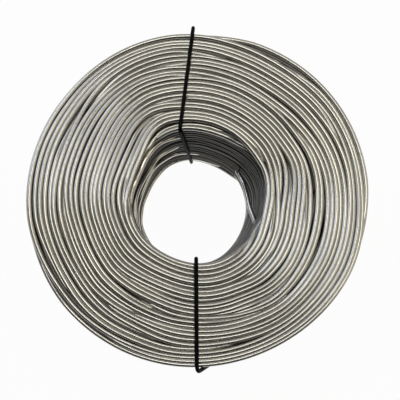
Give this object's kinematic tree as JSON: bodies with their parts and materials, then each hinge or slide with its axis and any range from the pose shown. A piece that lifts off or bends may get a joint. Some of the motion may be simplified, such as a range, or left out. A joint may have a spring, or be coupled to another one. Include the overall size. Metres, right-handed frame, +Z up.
{
  "type": "coil of annealed tie wire",
  "caption": "Flat-lying coil of bright grey annealed steel tie wire with an open centre, its free inner end sprung into the bore, held by black wire ties.",
  "frame": {"origin": "on the coil's axis, at the level of the floor that it lies on", "axes": "+Z up along the coil's axis, +Y towards the tie that is uppermost in the picture, +X towards the wire's free inner end"},
  "size_m": [0.1138, 0.1186, 0.0341],
  "materials": {
    "annealed_wire": "bright drawn and annealed, satin",
    "black_tie_wire": "satin black"
  },
  "bodies": {
    "root": {"wire_coil": "annealed_wire", "upper_tie": "black_tie_wire", "lower_tie": "black_tie_wire"}
  },
  "joints": []
}
